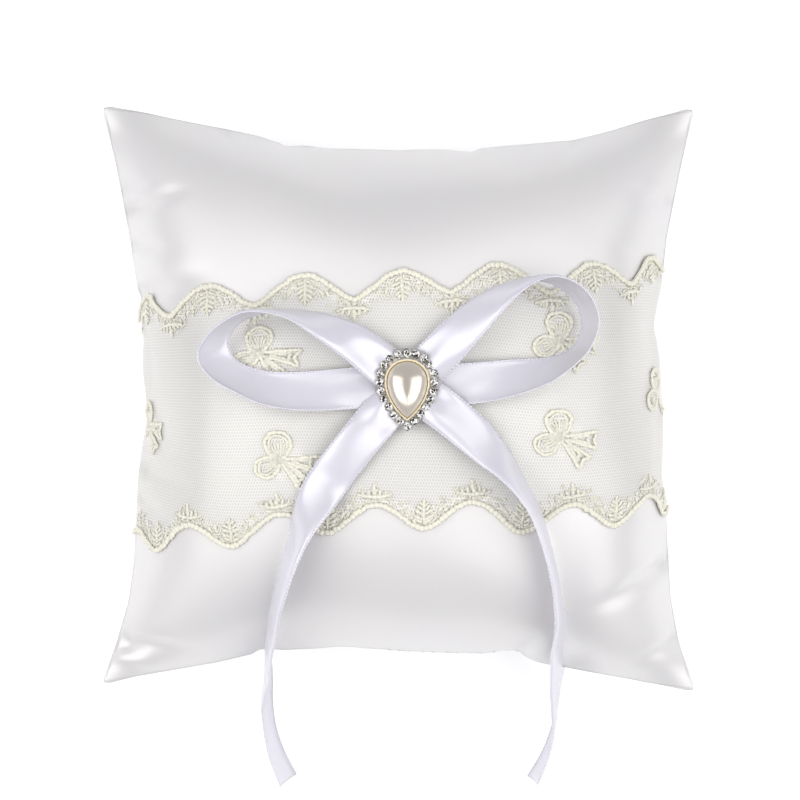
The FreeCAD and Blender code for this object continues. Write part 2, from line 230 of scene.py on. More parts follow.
left, right = seam_shift(front[0], LEFT_SEAM, 1), seam_shift(front[-1], RIGHT_SEAM, 1)
bottom, top = seam_shift(front[:, 0], BOTTOM_SEAM, 0), seam_shift(front[:, -1], TOP_SEAM, 0)
s, t = ((u + 1) / 2)[..., None], ((v + 1) / 2)[..., None]
shift = (1 - s) * left[None] + s * right[None] + (1 - t) * bottom[:, None] + t * top[:, None]
shift -= (1 - s) * (1 - t) * left[0] + s * (1 - t) * right[0] + (1 - s) * t * left[-1] + s * t * right[-1]
print("largest shift, mm:", round(float(np.abs(shift).max()), 1))

# %% Seat the cushion on the surface
SEAM_Z = 36.0
CROWN_Z = 79.0
BELLY = 38.0
FLOOR_SOFTNESS = 2.5
CALMING_PASSES = 36             # evens out part of the simulated puckers, away from the seam
CORNERS = ((0, 0, 1, 1), (0, -1, 1, -2), (-1, 0, -2, 1), (-1, -1, -2, -2))

for panel in (front, back):
    panel[..., :2] += shift
    for _ in range(CALMING_PASSES):
        around = (panel[:-2, 1:-1] + panel[2:, 1:-1] + panel[1:-1, :-2] + panel[1:-1, 2:]) / 4
        panel[1:-1, 1:-1] = (panel[1:-1, 1:-1] + around) / 2
    for i, j, near_i, near_j in CORNERS:        # a sewn corner never turns out quite sharp
        panel[i, j] = panel[i, j] / 2 + (panel[near_i, j] + panel[i, near_j]) / 4
front[..., 2] = SEAM_Z + front[..., 2] * (CROWN_Z - SEAM_Z) / front[..., 2].max()
back[..., 2] = SEAM_Z + back[..., 2] * BELLY / -back[..., 2].min()
rounded = (back[..., 2] + np.sqrt(back[..., 2] ** 2 + FLOOR_SOFTNESS**2)) / 2
inside = np.zeros_like(rounded)
inside[1:-1, 1:-1] = 1
back[..., 2] += (rounded - rounded.min() - back[..., 2]) * inside
print("satin stands, mm:", [round(float(height), 2) for height in (back[..., 2].min(), front[..., 2].max())])

# %% [markdown]
# A satin cover also takes creases where the seam pulls: short valleys that run in from the left seam, a
# fold in the flared lower left corner, slanting creases above the lower right corner, and a long shallow
# valley above the step of the bottom seam. The grid is first made finer, so that a crease can be narrow.
# Then each one is pressed in along a line, across the cloth's own surface.

# %% Refine the cloth
def refined(grid):
    """Puts a point between each two along the first axis, on a smooth curve through their neighbours."""
    finer = np.empty((2 * len(grid) - 1, *grid.shape[1:]))
    finer[::2] = grid
    finer[1::2] = (grid[:-1] + grid[1:]) / 2
    finer[3:-3:2] = (9 * (grid[1:-2] + grid[2:-1]) - grid[:-3] - grid[3:]) / 16
    return finer


def refined_both(grid):
    return refined(refined(grid).swapaxes(0, 1)).swapaxes(0, 1)


front, back = refined_both(front), refined_both(back)
print("points along a side:", len(front))

# %% Press the creases
CREASES = [                     # from, to, depth (below 0 for a ridge) and half width
    ((-94.0, 63.0), (-66.0, 70.5), 2.7, 2.1), ((-94.0, 70.5), (-78.0, 72.5), 1.4, 1.6),
    ((-91.0, 51.8), (-70.0, 49.0), 1.7, 1.8), ((-90.0, 35.0), (-58.0, 42.0), 3.2, 3.0),
    ((-88.0, -24.0), (-62.0, -31.0), 1.8, 2.6), ((-90.0, -34.0), (-68.0, -43.0), 1.2, 2.1),
    ((-97.0, -83.0), (-62.0, -84.5), 2.6, 3.0), ((-98.0, -86.8), (-76.0, -92.0), -1.3, 1.7),
    ((94.0, -54.5), (58.0, -74.0), 2.7, 2.7), ((97.0, -80.5), (77.0, -90.5), 1.9, 2.2),
    ((61.0, -92.0), (57.0, -42.0), 2.5, 6.5), ((40.0, -88.0), (52.0, -72.0), 1.2, 2.5),
    ((-26.0, 85.0), (-31.0, 65.0), -0.8, 2.6), ((91.0, 44.0), (68.0, 52.0), 1.4, 1.9),
    ((94.0, 66.0), (74.0, 69.5), 1.5, 1.9), ((-60.0, 92.0), (-53.0, 78.0), 0.9, 1.9),
    ((60.0, 88.0), (54.0, 73.0), 0.9, 2.2),
]
SEAM_FADE = 3                   # the seam itself stays in place, and creases deepen over this many cells


def normals_of(grid):
    return unit(np.cross(np.gradient(grid, axis=0), np.gradient(grid, axis=1)))


def press(grid, start, end, depth, half_width):
    """Pushes a soft valley into a grid, between two places seen from above. It dies out at its end."""
    start, run = np.array(start), np.subtract(end, start)
    place = np.clip(((grid[..., :2] - start) @ run) / (run @ run), 0, 1)
    off = np.linalg.norm(grid[..., :2] - start - place[..., None] * run, axis=-1) / half_width
    amount = depth * np.exp(-(off**2)) * (1 - place) ** 2 * (1 + 2 * place)
    return grid - normals_of(grid) * (amount * off_seam)[..., None]


steps = np.arange(len(front))
from_seam = np.minimum(steps, steps[::-1])
off_seam = np.clip(np.minimum.outer(from_seam, from_seam) / SEAM_FADE, 0, 1)
for crease in CREASES:
    front = press(front, *crease)
print("creases:", len(CREASES))

# %% Make the panels
SATIN_THICKNESS = 0.3

fine = np.linspace(-PANEL / 2, PANEL / 2, len(front))
flat_pattern = np.stack(np.meshgrid(fine, fine, indexing="ij"), -1).reshape(-1, 2)
panel_index = np.arange(front.shape[0] ** 2).reshape(front.shape[:2])

panel_faces = grid_faces(panel_index)
satin_front = add_piece("satin_front", front.reshape(-1, 3), panel_faces, "satin", flat_pattern)
satin_back = add_piece("satin_back", back.reshape(-1, 3), panel_faces[:, ::-1], "satin", flat_pattern)
for piece, node in ((satin_front, "front_cover"), (satin_back, "back_cover")):
    thickness = piece.modifiers.new("cloth thickness", "SOLIDIFY")
    thickness.thickness = SATIN_THICKNESS * MM
    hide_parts(node)

# %% [markdown]
# ## The filling
# Inside is a loose wad of polyester fibre that takes the shape of its cover. It never shows, so it is the
# same two panels drawn in a little, closed into one body.

# %% Fill with fibre
FILL_INSET = 1.6
RIM_SHRINK = 0.97               # the core's own edge, drawn in from the seam
CORE_STEP = 2                   # the core takes every second point of the panels

middle = np.array([0, 0, SEAM_Z])
core_grids = []
for grid, side in ((front, 1), (back, -1)):
    core = grid - side * normals_of(grid) * FILL_INSET
    rim = np.ones(core.shape[:2], bool)
    rim[1:-1, 1:-1] = False
    core[rim] = middle + (grid[rim] - middle) * RIM_SHRINK
    core_grids.append(core[::CORE_STEP, ::CORE_STEP])
fibre_core = add_piece("fibre_core", *sewn_pair(*core_grids)[:2], "filling")
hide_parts("fibre_filling")

# %% [markdown]
# ## A place on the front
# Lace and thread are drawn on the flat pattern and then laid on the cushion. This needs one function: it
# takes places on the front panel's pattern, and a height above the cloth, and gives points in space.

# %% Lay a flat pattern on the front
front_normals = normals_of(front)


def sample(grid, places):
    """Values of a grid over the front panel, at places on its flat pattern, blended from the nearest four."""
    where = np.clip((np.asarray(places, float) / PANEL + 0.5) * (len(grid) - 1), 0, len(grid) - 1.001)
    low = where.astype(int)
    part = where - low
    i, j = low[..., 0], low[..., 1]
    a, b = part[..., :1], part[..., 1:]
    return ((1 - a) * (1 - b) * grid[i, j] + a * (1 - b) * grid[i + 1, j]
            + (1 - a) * b * grid[i, j + 1] + a * b * grid[i + 1, j + 1])


def on_front(places, lift):
    return sample(front, places) + unit(sample(front_normals, places)) * np.asarray(lift)[..., None]


print("pattern centre lies at", on_front([0, 0], 0).round(1))

# %% [markdown]
# ## The net
# The lace is a hexagonal nylon net with embroidery over it. Real net could be faked with a see-through
# texture, but a close view would lose it, so each hexagon is made: a small triangle at every meeting of
# threads and a strip for every thread between two of them. The strips are flat, as pressed net is. Inside
# the scallops and round the bows a machine has stitched into the net and nearly closed its holes,
# unevenly, so there the strips are wider.

# %% Outline of the lace band
BAND_SLOPE = 0.085              # the band lies a little aslant
UPPER_BEND, LOWER_BEND = 0.0002, -0.00075       # and was stretched wider at its ends, most at the lower edge
SCALLOP = 31.2                  # pitch of the scallops along the band
SCALLOP_DEPTH = 8.4
UPPER_TIP, UPPER_PHASE, UPPER_ROUNDNESS = 41.6, 1.0, 1.5
LOWER_TIP, LOWER_PHASE, LOWER_ROUNDNESS = -42.2, 7.0, 1.7
BAND_END = PANEL / 2 - 0.4


def upper_edge(x, inset=0.0):
    """Round scallops with narrow notches between them."""
    drop = 1 - np.abs(np.cos(np.pi * (x - UPPER_PHASE) / SCALLOP)) ** UPPER_ROUNDNESS
    return UPPER_TIP + BAND_SLOPE * x + UPPER_BEND * x**2 - SCALLOP_DEPTH * drop - inset


def lower_edge(x, inset=0.0):
    """Narrower scallops with round notches."""
    drop = np.abs(np.sin(np.pi * (x - LOWER_PHASE) / SCALLOP)) ** LOWER_ROUNDNESS
    return LOWER_TIP + BAND_SLOPE * x + LOWER_BEND * x**2 + SCALLOP_DEPTH * drop + inset


print("band height at the middle, mm:", round(float(upper_edge(1.0) - lower_edge(9.0)), 1))

# %% Knit the net
NET_PITCH = 0.88                # across one hexagon, side to side
NET_STRETCH = 1.32              # hexagons are drawn out up and down, as net is when it hangs
NET_THREAD = 0.25               # real net thread is nearer 0.1, too fine to show
NET_LIFT = 0.4
NET_MARGIN = 0.4                # the net ends under the edge cord
STITCHED_THREAD = 0.3           # added to the threads where the net is stitched in
STITCHED_EDGE, STITCHED_WAVE = 5.6, 2.0         # how far in from the scallops, and how much that varies
STITCHED_BOW, BOW_SHIFT = 7.5, 1.0              # how far round each bow, and how far right of its knot
STITCHED_BORDER = 2             # width of the border to the open net
UNEVENNESS = 0.3, 1.3           # share of the added thread, drawn anew at every meeting
ROWS_BELOW, ROWS_ABOVE = 20, 12                 # how far past the scallops' tips rows are tried
BOW_PLACES = [(-44.2, 13.7), (-37.2, -20.8), (50.9, -9.4), (50.0, 22.5), (4.0, 3.0), (-99.0, -11.6),
              (97.5, 2.6)]
rng = np.random.default_rng(7)


def in_band(x, y):
    return (np.abs(x) < BAND_END) & (y > lower_edge(x, NET_MARGIN)) & (y < upper_edge(x, NET_MARGIN))


def stitched_in(x, y):
    """1 where the net is stitched nearly closed, 0 on the open net, with an uneven border."""
    amount = np.zeros_like(x)
    for edge, phase in ((upper_edge, UPPER_PHASE), (lower_edge, LOWER_PHASE)):
        reach = STITCHED_EDGE + STITCHED_WAVE * np.cos(2 * np.pi * (x - phase) / SCALLOP)
        amount = np.maximum(amount, reach - np.abs(y - edge(x)))
    for bow_x, bow_y in BOW_PLACES:
        amount = np.maximum(amount, STITCHED_BOW - np.hypot(x - bow_x - BOW_SHIFT, y - bow_y))
    return np.clip(amount / STITCHED_BORDER, 0, 1) * rng.uniform(*UNEVENNESS, x.shape)


def knit():
    """Places and faces of a net of hexagons. Each meeting of threads is a triangle, each thread a strip."""
    side = NET_PITCH / math.sqrt(3) * NET_STRETCH
    lowest, highest = [int(y / side / 1.5) for y in (LOWER_TIP - ROWS_BELOW, UPPER_TIP + ROWS_ABOVE)]
    rows = np.arange(lowest, highest + 1)
    columns = np.arange(-int(BAND_END / NET_PITCH) - 1, int(BAND_END / NET_PITCH) + 2)
    k, i = np.meshgrid(rows, columns, indexing="ij")
    odd = k % 2
    x = (i + odd / 2) * NET_PITCH
    y_low = k * 1.5 * side
    y_high = y_low + side
    keep_low, keep_high = in_band(x, y_low), in_band(x, y_high)
    low = np.where(keep_low, np.cumsum(keep_low).reshape(x.shape) - 1, -1) * 3
    high = np.where(keep_high, keep_low.sum() + np.cumsum(keep_high).reshape(x.shape) - 1, -1) * 3
    corners = []
    for y, keep, first in ((y_low, keep_low, 30), (y_high, keep_high, 90)):
        turn = np.radians(first + np.array([0, 120, 240]))
        around = np.stack([np.cos(turn), np.sin(turn)], -1) / math.sqrt(3)
        thread = NET_THREAD + STITCHED_THREAD * stitched_in(x[keep], y[keep])
        meeting = np.stack([x[keep], y[keep]], -1)
        corners.append((meeting[:, None] + around * thread[:, None, None]).reshape(-1, 2))
    places = np.concatenate(corners)
    faces = np.arange(len(places)).reshape(-1, 3).tolist()
    both = keep_low & keep_high
    a, b = low[both], high[both]
    faces += np.stack([a, b + 2, b + 1, a + 1], -1).tolist()
    rows_from = np.arange(len(rows) - 1)[:, None]
    columns_from = np.arange(1, len(columns) - 1)[None]
    for step, (b_near, a_near, a_far, b_far) in ((0, (2, 2, 1, 0)), (-1, (0, 0, 2, 1))):
        a = low[rows_from + 1, columns_from + step + odd[:-1, 1:-1]]
        b = high[:-1, 1:-1]
        both = (a >= 0) & (b >= 0)
        a, b = a[both], b[both]
        faces += np.stack([b + b_near, a + a_near, a + a_far, b + b_far], -1).tolist()
    return places, faces


net_places, net_faces = knit()
net_points = on_front(net_places, np.full(len(net_places), NET_LIFT))
lace_net = add_piece("lace_tulle", net_points, net_faces, "lace_net", net_places)

# %% [markdown]
# ## Thread
# Everything embroidered is thread lying on the net: the thick cord along the scallops, the little fans and
# crowns inside them, and the bows on the open net. One function makes all of it, a round strand along a
# line drawn on the flat pattern. Its thickness swells at each stitch, which is what makes a real corded
# edge look like small beads.

# %% Strands along a line
STITCH_PITCH = 1.5              # real stitches lie about 0.4 apart, too close to show, so these are bundles
STITCH_SWELL = 0.17
WOBBLE, WOBBLE_STEPS = 0.13, 4  # how far stitches stray, and points from one stray to the next
THREAD_FLATNESS = 0.55          # stitches lie pressed on the net
PER_SPAN = 8                    # points of a smooth curve from one station to the next
THICKNESS_WANDER = 0.8          # how much the thread's thickness follows its wobble
BLUNT_END = 0.6                 # how far a thread narrows at its very ends


def resample(line, step):
    """Points at even steps along a line of any dimension."""
    line = np.asarray(line, float)
    run = np.concatenate([[0], np.cumsum(np.linalg.norm(np.diff(line[:, :2], axis=0), axis=1))])
    count = max(3, int(round(run[-1] / step)) + 1)
    where = np.linspace(0, run[-1], count)
    return np.stack([np.interp(where, run, line[:, d]) for d in range(line.shape[1])], -1), where


def curve_through(stations):
    """A smooth curve through its stations (Catmull-Rom), with every column blended alike."""
    stations = np.asarray(stations, float)
    ends = np.concatenate([[2 * stations[0] - stations[1]], stations, [2 * stations[-1] - stations[-2]]])
    k = np.arange(0, len(stations) - 1, 1 / PER_SPAN)
    i, w = k.astype(int), (k % 1)[:, None]
    p0, p1, p2, p3 = ends[i], ends[i + 1], ends[i + 2], ends[i + 3]
    curve = 0.5 * (2 * p1 + (p2 - p0) * w + (2 * p0 - 5 * p1 + 4 * p2 - p3) * w**2
                   + (3 * p1 - p0 - 3 * p2 + p3) * w**3)
    return np.concatenate([curve, stations[-1:]])


def tube(middle, up, radius, sides=6, flatness=1.0):
    """Points and faces of a strand with closed ends. up is the direction of its top at every point."""
    forward = unit(np.gradient(middle, axis=0))
    side = unit(np.cross(forward, up))
    top = np.cross(side, forward) * flatness
    turn = 2 * np.pi * np.arange(sides) / sides
    ring = np.cos(turn)[None, :, None] * side[:, None] + np.sin(turn)[None, :, None] * top[:, None]
    points = (middle[:, None] + ring * np.asarray(radius)[:, None, None]).reshape(-1, 3)
    return points, ring_faces(len(middle), sides)


def joined(strands):
    """One list of points and one of faces from many strands."""
    points, faces, count = [], [], 0
    for strand_points, strand_faces in strands:
        points.append(strand_points)
        faces += [[count + n for n in face] for face in strand_faces]
        count += len(strand_points)
    return np.concatenate(points), faces


def laid_thread(line, width, lift=0.38, taper=0.0, step=0.32):
    """A thread on the lace. taper thins its ends by that share; lift is the height of its underside."""
    places, run = resample(line, step)
    stray = rng.normal(0, WOBBLE, (len(places) // WOBBLE_STEPS + 2, 3))
    place = run / run[-1] * (len(stray) - 1)
    stray = np.stack([np.interp(place, np.arange(len(stray)), column) for column in stray.T], -1)
    places = places + stray[:, :2]
    radius = width / 2 * (1 + THICKNESS_WANDER * stray[:, 2])
    radius *= 1 + STITCH_SWELL * np.sin(2 * np.pi * run / STITCH_PITCH)
    radius *= 1 - taper * np.abs(2 * run / run[-1] - 1) ** 2
    radius[[0, -1]] *= BLUNT_END
    middle = on_front(places, lift + radius * THREAD_FLATNESS)
    return tube(middle, unit(sample(front_normals, places)), radius, flatness=THREAD_FLATNESS)


def laid_inside(threads, taper=0.0):
    """Lays the threads that end before the band does."""
    inside = [(line, width) for line, width in threads if np.abs(line[:, 0]).max() < BAND_END]
    return [laid_thread(line, width, taper=taper) for line, width in inside]


# %% Edge cords
CORD_WIDTH = 1.9

cords = []
edge_run = np.linspace(-BAND_END, BAND_END, 700)
for name, edge in (("upper", upper_edge), ("lower", lower_edge)):
    line = np.stack([edge_run, edge(edge_run)], -1)
    cord = add_piece("lace_cord_" + name, *laid_thread(line, CORD_WIDTH), "lace_thread")
    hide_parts("lace_edge_cord_" + name)
    cords.append(cord)

# %% [markdown]
# ## Fans and crowns
# Inside every scallop stands a fan like a small fir tree: a spire with short branches and a packed foot.
# Over every notch stands a crown: a bar with a tall spike in the middle and a shorter one on each side.
# Both are lists of short threads, given once and repeated along the two edges. Between them the machine
# fills the ground with short stitches in all directions, which leave tiny dark holes; those are scattered
# by chance, always in the same way.

# %% Draw one fan and one crown
FAN_BRANCHES = ((2.0, 2.4, 0.9), (3.2, 3.4, 1.6), (4.7, 2.9, 1.7), (6.2, 2.2, 1.5), (7.6, 1.4, 1.2))


def mirrored(threads):
    """The same threads again with X turned round, as most motifs are symmetrical."""
    return threads + [([(-x, y) for x, y in line], width) for line, width in threads]


def fan():
    """Threads of one fan, its tip on the scallop's tip and Y pointing into the band."""
    threads = [([(0, 1.2), (0, 6.0), (0, 10.0)], 1.2)]
    branches = []
    for y, reach, rise in FAN_BRANCHES:
        branches.append(([(0.3, y), (reach * 0.6, y + rise * 0.45), (reach, y + rise)], 1.15))
    branches.append(([(1.4, 1.5), (3.0, 2.2), (4.6, 3.9)], 0.8))
    branches.append(([(4.4, 4.6), (5.2, 6.0), (5.4, 7.2)], 1.2))
    branches.append(([(6.8, 5.2), (7.4, 6.8)], 1.1))
    return threads + mirrored(branches)


def crown():
    """Threads of one crown, its origin on the notch and Y pointing into the band."""
    spike = ([(0, 0.5), (0, 3.0), (0, 7.4)], 1.25)
    bar = ([(-4.9, 3.2), (-2.4, 2.7), (0, 2.6), (2.4, 2.7), (4.9, 3.2)], 1.5)
    sides = [([(1.6, 2.8), (1.9, 5.0)], 1.2), ([(3.3, 3.0), (3.8, 4.6)], 1.2),
             ([(4.7, 2.9), (5.5, 3.9)], 1.1), ([(0.2, 4.2), (1.1, 5.2)], 0.9),
             ([(1.2, 0.8), (2.6, 2.0)], 0.7), ([(3.0, 1.3), (4.4, 2.2)], 0.7)]
    return [spike, bar] + mirrored(sides)


def placed(threads, x, y, side):
    """Moves a motif's threads to a place on the pattern. side is -1 where the band's inside is below."""
    slope = np.array([[1.0, BAND_SLOPE], [0.0, side]])
    return [(np.asarray(line) @ slope + (x, y), width) for line, width in threads]


# %% Embroider both edges
SPECKLES = 12000                # short stray stitches tried over the whole band; those near an edge stay
GROUND_FROM, GROUND_TO = 0.8, 5.8               # how near to the edge and how far from it
GROUND_WAVER = 2.0
SPECKLE_REACH, SPECKLE_WIDTH = (0.5, 0.9), 0.75

fan_threads = []
for edge, phase, inward in ((upper_edge, UPPER_PHASE, -1), (lower_edge, LOWER_PHASE, 1)):
    for k in range(-3, 4):
        for x, motif in ((phase + k * SCALLOP, fan()), (phase + (k + 0.5) * SCALLOP, crown())):
            if abs(x) < BAND_END + 2:
                fan_threads += placed(motif, x, float(edge(x)), inward)
strands = laid_inside(fan_threads, taper=0.45)
for x, y in rng.uniform((-BAND_END, LOWER_TIP - 16), (BAND_END, UPPER_TIP + 16), (SPECKLES, 2)):
    depth = min(upper_edge(x) - y, y - lower_edge(x))
    if GROUND_FROM < depth < GROUND_TO + GROUND_WAVER * rng.uniform(-1, 1) and abs(x) < BAND_END - 2:
        lean, reach = rng.uniform(0, np.pi), rng.uniform(*SPECKLE_REACH)
        reach = np.array([np.cos(lean), np.sin(lean)]) * reach
        strands.append(laid_thread([(x, y) - reach, (x, y), (x, y) + reach], SPECKLE_WIDTH, taper=0.3))
fans = add_piece("lace_fans_and_crowns", *joined(strands), "lace_thread")
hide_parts("lace_fan_embroidery")

# %% [markdown]
# ## Embroidered bows
# Small bows are scattered over the open net, all turned the same way: a knot, two loops outlined in thread
# with spokes from the knot, and two flared tails with a double outline and a notched end.

# %% Draw one bow
def turned(line, degrees, x=0.0, y=0.0):
    turn = math.radians(degrees)
    spin = np.array([[math.cos(turn), math.sin(turn)], [-math.sin(turn), math.cos(turn)]])
    return np.asarray(line, float) @ spin + (x, y)


def bow_loop(degrees, length, width):
    """An outlined loop that leaves the knot in one direction, with spokes inside it."""
    angle = np.linspace(0, 2 * np.pi, 25)
    swell = width / 2 * np.sin(angle) * np.sin(angle / 2) ** 0.6
    outline = np.stack([length * (1 - np.cos(angle)) / 2, swell], -1)
    inner = outline * (0.8, 0.72) + (length * 0.08, 0)
    threads = [(turned(outline, degrees), 1.35), (turned(inner, degrees), 0.95)]
    for spoke in (-36, -24, -12, 0, 12, 24, 36):
        threads.append((turned([(0.8, 0), (length * 0.66, 0)], degrees + spoke), 0.8))
    return threads


def bow_tail(degrees, length, width):
    """A flared tail: two outlines, an inner pair and a notched end."""
    ends = [(0.4, 0.3), (length * 0.55, width * 0.28), (length, width * 0.5), (length - 1.3, 0.0)]
    outer = ends + [(x, -y) for x, y in ends[-2::-1]]
    inner = [(length * 0.25, 0.05), (length * 0.8, width * 0.24), (length * 0.72, 0),
             (length * 0.8, -width * 0.24), (length * 0.25, -0.05)]
    return [(turned(outer, degrees), 1.3), (turned(inner, degrees), 1.1)]


def bow():
    """Threads of one bow, its knot at the origin."""
    knot = [(turned([(-1.1, 0), (0, bend), (1.1, 0)], 90), 1.3) for bend in (0.5, -0.5)]
    return (knot + bow_loop(93, 8.8, 9.6) + bow_loop(206, 8.8, 7.4) + bow_tail(-7, 12.6, 5.6)
            + bow_tail(-50, 11.5, 5.2))


strands = laid_inside([(line + place, width) for place in BOW_PLACES for line, width in bow()])
bows = add_piece("lace_bows", *joined(strands), "lace_thread")
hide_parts("lace_bow_embroidery")
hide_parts("lace_net")

# %% [markdown]
# ## The ribbon
# The bow is 13 mm double-faced satin ribbon. Ribbon doesn't stretch, but it twists freely, so it is
# described by where its middle runs and how far it has turned out of flat: 0 lies face up, 90 stands on its
# edge. Each strand rests on the lace by whichever of its edges is lowest. The four strands start under the
# brooch.

# %% Stations of the four strands
BOW_LIFT = 2.1                  # middle of the ribbon above the satin, clear of the cords
PINNED_LIFT, PINNED_REACH = 1.5, 13.0           # lower where the brooch presses the ribbon down, and how far
LAYER_STEP, LAYER_REACH = 0.5, 3                # rise where ribbon crosses ribbon, and stations until it ends
RIBBON_WIDTH = 13.0
RIBBON_THICKNESS = 0.3
LEFT_LOOP = [
    (2.8, 4.0, 0), (-6.0, 11.5, 10), (-13.0, 17.0, 24), (-20.5, 21.5, 42), (-28.0, 25.0, 60),
    (-35.0, 27.3, 77), (-42.5, 28.0, 89), (-49.4, 27.2, 97), (-55.2, 24.0, 104), (-59.2, 19.2, 118),
    (-60.2, 13.9, 140), (-57.2, 9.2, 136), (-52.0, 6.0, 133), (-43.5, 2.9, 144), (-34.5, 1.9, 156),
    (-25.5, 2.1, 165), (-17.0, 2.8, 174), (-8.0, 3.4, 180), (0.0, 3.7, 180),
]
RIGHT_LOOP = [
    (2.8, 4.0, 0), (12.5, 13.5, -12), (18.5, 20.0, -22), (25.0, 26.5, -36), (32.5, 33.0, -55),
    (39.0, 37.0, -73), (45.0, 38.8, -88), (51.0, 38.5, -100), (57.0, 35.5, -107), (61.0, 31.0, -110),
    (62.7, 25.5, -113), (62.0, 20.3, -111), (59.5, 15.5, -109), (54.5, 11.5, -114), (48.5, 8.6, -127),
    (42.0, 7.0, -141), (36.0, 6.0, -154), (29.5, 5.1, -166), (22.0, 4.5, -176), (11.0, 4.0, -180),
    (0.0, 3.7, -180),
]
LEFT_TAIL = [
    (2.8, 4.0, 0), (-6.5, -6.5, 2), (-11.0, -12.0, -6), (-16.0, -18.3, -11), (-21.0, -24.8, -6),
    (-25.7, -31.3, 14), (-29.7, -38.0, 38), (-33.0, -45.5, 59), (-36.5, -55.0, 68), (-40.0, -67.0, 75),
    (-42.5, -78.0, 80),
]
RIGHT_TAIL = [
    (2.8, 4.0, 0), (12.5, -2.5, -5), (22.5, -10.3, -15), (30.0, -17.3, -35), (35.5, -23.0, -54),
    (40.5, -29.5, -66), (44.5, -36.5, -73), (47.5, -44.5, -76), (50.0, -53.5, -78), (52.0, -63.0, -78),
    (53.3, -74.0, -76),
]
LEFT_FALL = [                   # past the cushion's edge: X, Y, Z and turn
    (-44.2, -87.0, 47.5, 84), (-45.3, -95.0, 30.0, 90), (-46.0, -101.5, 17.5, 96), (-46.2, -109.0, 9.6, 101),
    (-45.3, -117.5, 6.9, 106), (-42.8, -126.0, 6.4, 111), (-39.0, -134.5, 6.1, 116),
]
RIGHT_FALL = [
    (54.3, -84.0, 50.5, -75), (54.9, -93.0, 33.5, -77), (55.3, -100.5, 18.5, -80), (55.0, -108.5, 9.8, -84),
    (54.2, -117.0, 7.0, -89), (51.5, -126.0, 6.8, -97), (47.3, -134.5, 6.6, -104),
]
print("stations:", [len(x) for x in (LEFT_LOOP, RIGHT_LOOP, LEFT_TAIL, RIGHT_TAIL)])

# %% Find the height of the cushion under a place
front_tree = BVHTree.FromPolygons(front.reshape(-1, 3).tolist(), panel_faces.tolist())


def cushion_height(x, y):
    """Height of the satin seen from above, 0 beside the cushion."""
    hit = front_tree.ray_cast(Vector((x, y, 200.0)), Vector((0, 0, -1)))[0]
    return hit.z if hit else 0.0


def resting_height(x, y, across):
    """Lowest height of the ribbon's middle that keeps all of its width above the lace."""
    reach = np.linspace(-RIBBON_WIDTH / 2, RIBBON_WIDTH / 2, 7)
    return BOW_LIFT + max(cushion_height(x + r * across[0], y + r * across[1]) - r * across[2] for r in reach)


print("cushion height at the crossing, mm:", round(cushion_height(2.8, 2.5), 1))

# %% Weave one strand
ACROSS = np.linspace(-1, 1, 21)
CUPPING = 0.6                   # how far the middle of the ribbon stands out of its edges
GATHER, GATHER_REACH = 1.6, 15.0                # depth of the folds at the brooch, and how fast they fade
LOOP_RISE, TAIL_RISE = 3.8, 1.8                 # the strands spring up from the brooch
SPRING_FROM, SPRING_REACH = 4, 6                # where that starts, and its run for each millimetre of rise
STIFFNESS, SOFTENING = 12, 3                    # smoothing passes before and after it is held off the lace
GATHER_TURN = 3.4               # turn of the folds' wave from the ribbon's middle to its edge, in radians
LIP = 0.55                      # how far the woven edges curl under
EDGE_LOOP = 1.3                 # pitch of the loops along the woven edge, really about 0.5
EDGE_THREAD = 0.5
EDGE_FULL, EDGE_SWELL = 1.15, 0.5               # mean thickness and swell at each loop, as shares of that


def eased(value):
    """0 below 0, 1 above 1 and a smooth step between."""
    value = np.clip(value, 0, 1)
    return value * value * (3 - 2 * value)


def ribbon_frame(stations, fall, first_layer):
    """Middle line, across and face directions of a strand, and its run in millimetres."""
    route = [(x, y, turn) for x, y, turn in stations] + [(x, y, turn) for x, y, z, turn in fall]
    x, y, turn = curve_through(route).T
    angle = np.arctan2(np.gradient(y), np.gradient(x))
    level, rise = np.cos(np.radians(turn)), np.sin(np.radians(turn))
    over = np.stack([-np.sin(angle) * level, np.cos(angle) * level, rise], -1)
    rest = np.array([resting_height(*place) for place in zip(x, y, over)])
    count = np.linspace(0, len(route) - 1, len(x))
    plan_run = np.concatenate([[0], np.cumsum(np.hypot(np.diff(x), np.diff(y)))])
    pinned = plan_run if fall else np.minimum(plan_run, plan_run[-1] - plan_run)
    rest -= (BOW_LIFT - PINNED_LIFT) * (1 - eased(pinned / PINNED_REACH))
    rest += LAYER_STEP * first_layer * np.clip(1 - count / LAYER_REACH, 0, 1)
    z = smoothed(np.maximum(smoothed(rest, STIFFNESS), rest), SOFTENING)
    spring = TAIL_RISE if fall else LOOP_RISE
    rising = eased((plan_run - SPRING_FROM) / (SPRING_REACH * spring))
    z = z + spring * rising * (1 - eased(plan_run / (2 * SPRING_REACH * spring) - 1))
    if fall:
        known = [resting_height(px, py, over[PER_SPAN * n]) for n, (px, py, _) in enumerate(stations)]
        lowered = curve_through(np.array(known + [station[2] for station in fall])[:, None])[:, 0]
        blend = np.clip(count - (len(stations) - 2), 0, 1)
        z = z * (1 - blend) + lowered * blend
    middle = np.stack([x, y, z], -1)
    forward = unit(np.gradient(middle, axis=0))
    over = unit(over - forward * (over * forward).sum(-1, keepdims=True))
    face = np.cross(forward, over)
    run = np.concatenate([[0], np.cumsum(np.linalg.norm(np.diff(middle, axis=0), axis=1))])
    return middle, over, face, run


